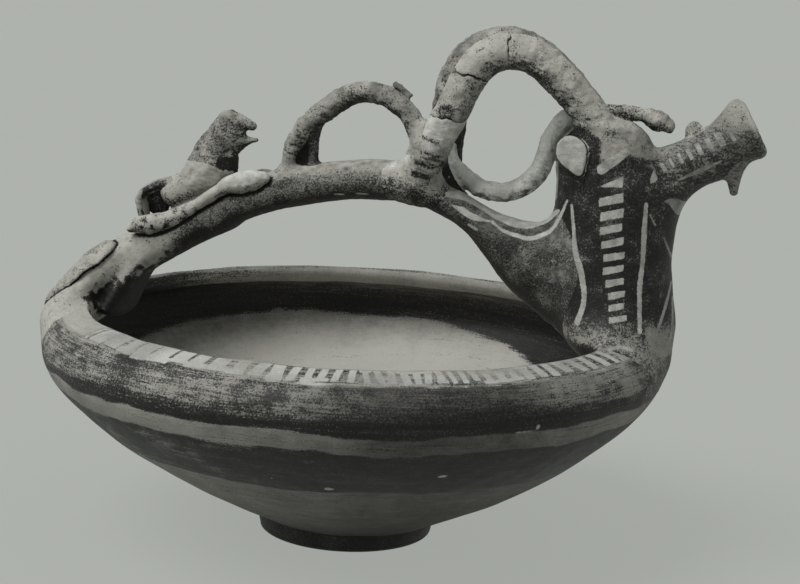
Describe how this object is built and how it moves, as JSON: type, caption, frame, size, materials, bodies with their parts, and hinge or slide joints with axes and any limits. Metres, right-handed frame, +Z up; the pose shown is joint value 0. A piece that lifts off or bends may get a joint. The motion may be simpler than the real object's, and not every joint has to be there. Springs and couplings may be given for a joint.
{
  "type": "handled pouring bowl",
  "caption": "Hand-built ceramic bowl on a disc foot, with a basket handle whose one end is a goat-headed pouring spout, under modelled horns, snake, loop and dog",
  "frame": {"origin": "centre of the flat underside of the foot", "axes": "+Z up along the bowl's axis, +X along the handle towards the spout, +Y away from the pictured side"},
  "size_m": [0.3402, 0.3, 0.2477],
  "materials": {
    "dark_slip": "dark painted slip, brushed and slightly lustrous, with pale painted strokes",
    "worn_slip": "matt clay with the slip half worn off",
    "pale_clay": "matt pale clay, mottled with dark slip and encrusted"
  },
  "bodies": {
    "root": {"foot": "dark_slip", "bowl": "dark_slip", "spout_neck": "dark_slip", "basket_handle": "worn_slip", "goat_head": "dark_slip", "snout_spout": "dark_slip", "beard": "dark_slip", "broken_stub": "pale_clay", "near_ear": "worn_slip", "far_ear": "worn_slip", "near_horn_tip": "pale_clay", "near_horn_lower": "pale_clay", "near_horn_crown": "pale_clay", "near_horn_root": "pale_clay", "far_horn": "pale_clay", "carrying_loop": "pale_clay", "loop_strut": "pale_clay", "snake_body": "pale_clay", "snake_head": "pale_clay", "dog_body": "pale_clay", "dog_head": "pale_clay", "dog_upper_jaw": "pale_clay", "dog_lower_jaw": "pale_clay", "dog_near_legs": "pale_clay", "dog_far_legs": "pale_clay", "dog_rump": "pale_clay", "dog_tail": "pale_clay"}
  },
  "joints": []
}
